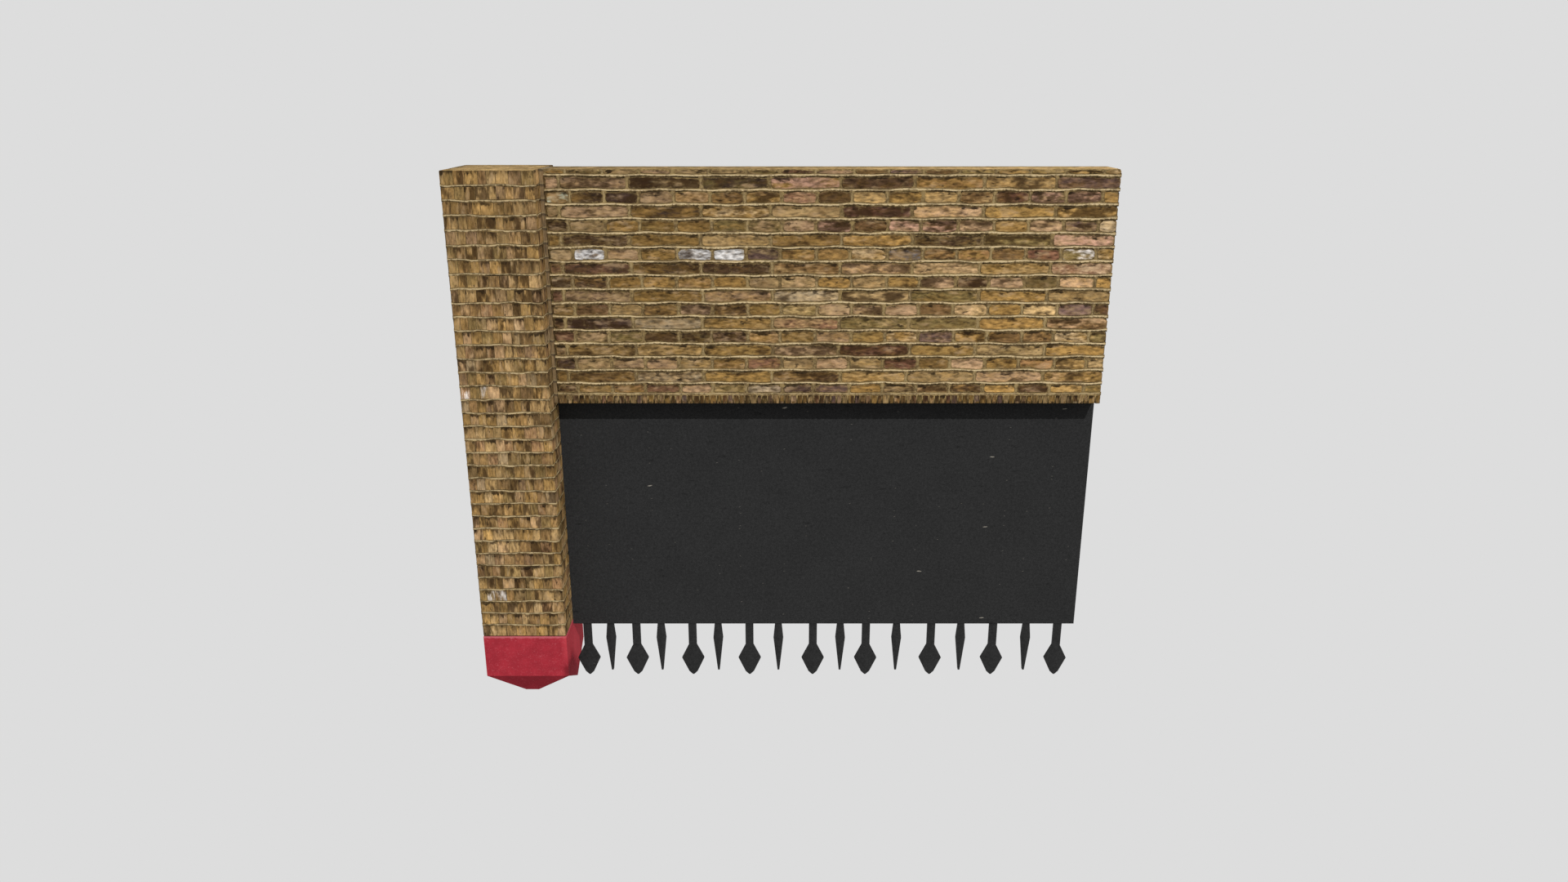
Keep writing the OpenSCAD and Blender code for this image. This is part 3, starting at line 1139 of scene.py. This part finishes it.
class GARDENWALL_OT_stage(bpy.types.Operator):
    """Sets the camera, the lights, the backdrop and the floor"""

    bl_idname = "garden_wall.stage"
    bl_label = "Stage"

    def execute(self, context):
        scene = context.scene
        scene.view_settings.view_transform = "Standard"
        stage = settings().stage
        self.camera(scene, stage)
        add_light("key", stage.key, angle=0.6, travel=stage.key_travel)
        add_light("fill", stage.fill, angle=25.0, travel=stage.fill_travel)
        add_light("side", stage.side, angle=50.0, travel=(1.0, 0.0, 0.0))
        self.world(scene, stage)
        self.floor(scene, stage)
        return {"FINISHED"}

    @staticmethod
    def camera(scene, stage):
        """The camera looks up at the bay and is turned half over, so the bay hangs in the picture."""
        data = bpy.data.cameras.new("camera")
        data.lens = stage.lens
        data.sensor_width = SENSOR_WIDTH
        camera = bpy.data.objects.new("camera", data)
        ahead = Vector((0.0, math.cos(stage.pitch), math.sin(stage.pitch)))
        up = Vector((0.0, math.sin(stage.pitch), -math.cos(stage.pitch)))
        right = ahead.cross(up)
        turn = Matrix((right, up, -ahead)).transposed().to_4x4()
        camera.matrix_world = Matrix.Translation(stage.camera_place) @ turn
        scene.collection.objects.link(camera)
        scene.camera = camera

    @staticmethod
    def world(scene, stage):
        """A plain backdrop, and soft light that is stronger from below."""
        scene.world = bpy.data.worlds.new("studio")
        scene.world.use_nodes = True
        nodes = Nodes(scene.world.node_tree, "ShaderNodeOutputWorld")
        height = nodes.split(nodes.add("ShaderNodeTexCoord", out="Generated"))[2]
        level = (stage.ambient - stage.ambient_slope * height) | 0.0
        soft = nodes.add("ShaderNodeBackground", None, {"Color": (1.0, 1.0, 1.0, 1.0), "Strength": level})
        plain = nodes.add("ShaderNodeBackground", None, {"Color": as_colour(stage.backdrop), "Strength": 1.0})
        nodes.surface(nodes.add("ShaderNodeMixShader", None, {0: seen_rays(nodes), 1: soft, 2: plain}))

    @staticmethod
    def floor(scene, stage):
        """A pale floor that shows from above, keeps the bay's shadow and lets the key light through."""
        mesh = bpy.data.meshes.new("floor")
        corners = [(x * FLOOR_REACH, y * FLOOR_REACH, 0.0) for x, y in ((-1, -1), (1, -1), (1, 1), (-1, 1))]
        mesh.from_pydata(corners, [], [(0, 1, 2, 3)])
        material, nodes = new_material("pale_floor")
        backdrop = as_colour(stage.backdrop)
        path = nodes.add("ShaderNodeLightPath", out="Is Camera Ray")
        behind = nodes.add("ShaderNodeNewGeometry", out="Backfacing")
        clear = nodes.add("ShaderNodeBsdfTransparent")
        pale = nodes.add("ShaderNodeBsdfDiffuse", None, {"Color": as_colour(FLOOR_GREY)})
        glow = nodes.add("ShaderNodeEmission", None, {"Color": backdrop, "Strength": FLOOR_GLOW})
        both = nodes.add("ShaderNodeAddShader", None, {0: pale, 1: glow})
        nodes.surface(nodes.add("ShaderNodeMixShader", None, {0: path * (1.0 - behind), 1: clear, 2: both}))
        mesh.materials.append(material)
        floor = bpy.data.objects.new("floor", mesh)
        scene.collection.objects.link(floor)


class GARDENWALL_PT_panel(bpy.types.Panel):
    """Lists the steps and settings of the garden wall bay"""

    bl_idname = "GARDENWALL_PT_panel"
    bl_label = "Garden wall"
    bl_space_type = "VIEW_3D"
    bl_region_type = "UI"
    bl_category = "Garden wall"

    def draw(self, context):
        for step in STEPS:
            self.layout.operator(step.bl_idname)
        bay = settings()
        for group in (bay.brickwork, bay.finish, bay.stage):
            box = self.layout.box()
            for name in group.__annotations__:
                box.prop(group, name)


STEPS = (
    GARDENWALL_OT_materials,
    GARDENWALL_OT_wall_brickwork,
    GARDENWALL_OT_coping_tiles,
    GARDENWALL_OT_pier_brickwork,
    GARDENWALL_OT_screen,
    GARDENWALL_OT_cap,
    GARDENWALL_OT_stage,
)
CLASSES = (BrickworkSettings, FinishSettings, StageSettings, GardenWallSettings, *STEPS, GARDENWALL_PT_panel)


def register():
    """Registers the classes and hangs the settings on the scene."""
    for cls in CLASSES:
        bpy.utils.register_class(cls)
    bpy.types.Scene.garden_wall = PointerProperty(type=GardenWallSettings)


def unregister():
    """Takes the settings and the classes away again."""
    del bpy.types.Scene.garden_wall
    for cls in reversed(CLASSES):
        bpy.utils.unregister_class(cls)


def main():
    register()
    for step in STEPS:
        group, name = step.bl_idname.split(".")
        getattr(getattr(bpy.ops, group), name)()


if __name__ == "__main__":
    main()
